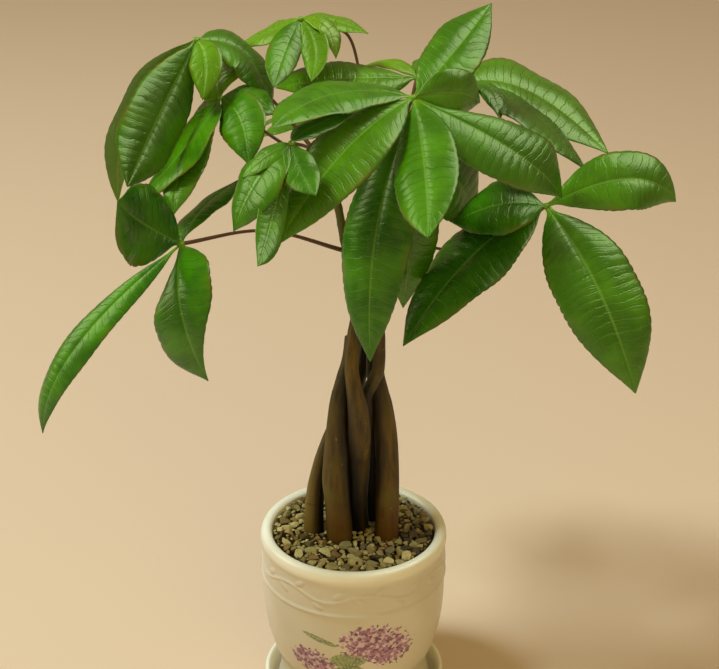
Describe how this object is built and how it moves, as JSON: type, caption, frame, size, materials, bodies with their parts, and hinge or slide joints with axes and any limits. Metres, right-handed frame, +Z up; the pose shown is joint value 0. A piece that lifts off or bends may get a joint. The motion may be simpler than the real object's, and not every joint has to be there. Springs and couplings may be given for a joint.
{
  "type": "potted money tree",
  "caption": "Small braided money tree with palmate leaves, in a glazed ceramic pot with gravel-topped soil, standing on a saucer.",
  "frame": {"origin": "centre of the saucer's flat underside, where the whole stands", "axes": "+Z up along the pot's axis, -Y towards the front with the flower spray, +X to the right seen from the front"},
  "size_m": [0.3768, 0.2896, 0.4555],
  "materials": {
    "glaze": "glossy cream glaze on ceramic, with a raised band and leafy relief under the rim and a lilac spray on the front",
    "soil": "matt dark brown potting soil",
    "gravel": "matt small pebbles in tan, greenish grey and brown",
    "bark": "smooth olive-brown bark with lengthwise streaks and small scars",
    "shoot": "green-brown young stems, satin",
    "leaf": "glossy green blades quilted between their side veins, with pale midribs"
  },
  "bodies": {
    "root": {"saucer": "glaze", "pot": "glaze", "soil": "soil", "gravel": "gravel", "stem_left_back": "bark", "stem_left_front": "bark", "stem_middle": "bark", "stem_right_front": "bark", "stem_right_back": "bark", "shoot_left": "shoot", "shoot_right": "shoot", "shoot_back": "shoot", "leaf_front": "leaf", "leaf_front_behind": "leaf", "leaf_hanging": "leaf", "leaf_right": "leaf", "leaf_right_back": "leaf", "leaf_left_top": "leaf", "leaf_left": "leaf", "leaf_top": "leaf", "leaf_left_front": "leaf", "leaf_left_low": "leaf", "leaf_back_left": "leaf", "leaf_back_right": "leaf"}
  },
  "joints": []
}
